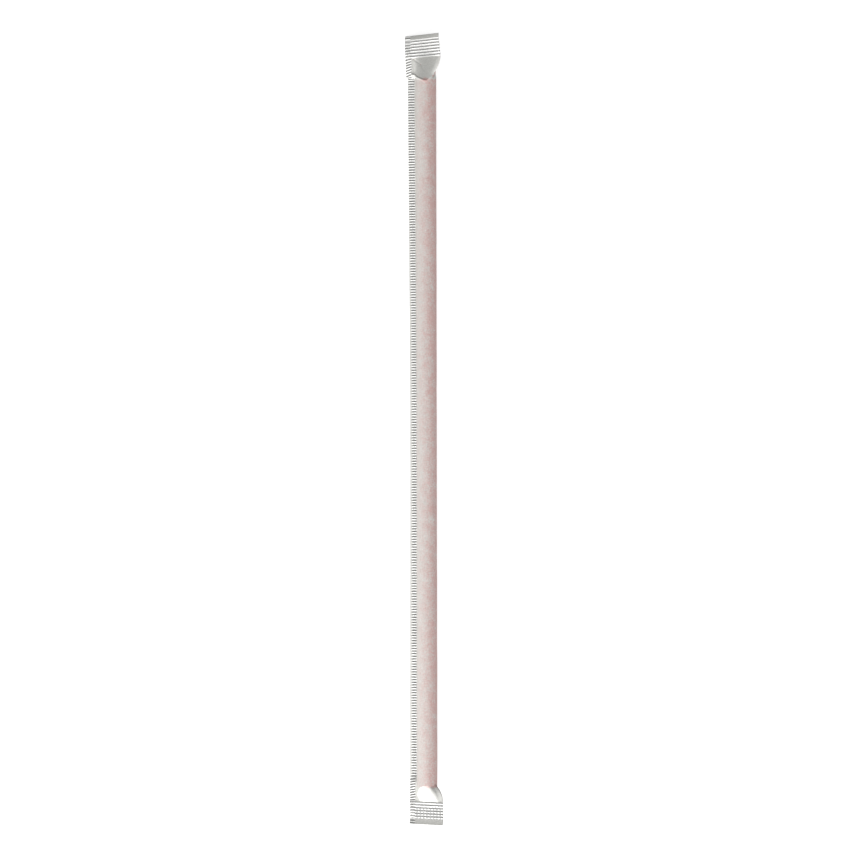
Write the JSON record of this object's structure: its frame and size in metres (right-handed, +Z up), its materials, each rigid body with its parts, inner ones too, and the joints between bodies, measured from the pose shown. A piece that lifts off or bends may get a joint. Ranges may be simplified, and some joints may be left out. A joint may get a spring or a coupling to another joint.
{
  "type": "wrapped drinking straw",
  "caption": "Straight drinking straw sealed in a thin paper wrapper with a crimped fin along one side and flat crimped ends.",
  "frame": {"origin": "on the surface that the wrapper lies on, under the straw's axis, half way along the wrapper", "axes": "+Y along the straw towards the longer end seal, +Z up from the surface, -X towards the fin seal"},
  "size_m": [0.0104, 0.2202, 0.006],
  "materials": {
    "wrapper_paper": "matte, thin and slightly translucent",
    "straw_plastic": "satin red plastic"
  },
  "bodies": {
    "root": {"paper_wrapper": "wrapper_paper", "drinking_straw": "straw_plastic"}
  },
  "joints": []
}
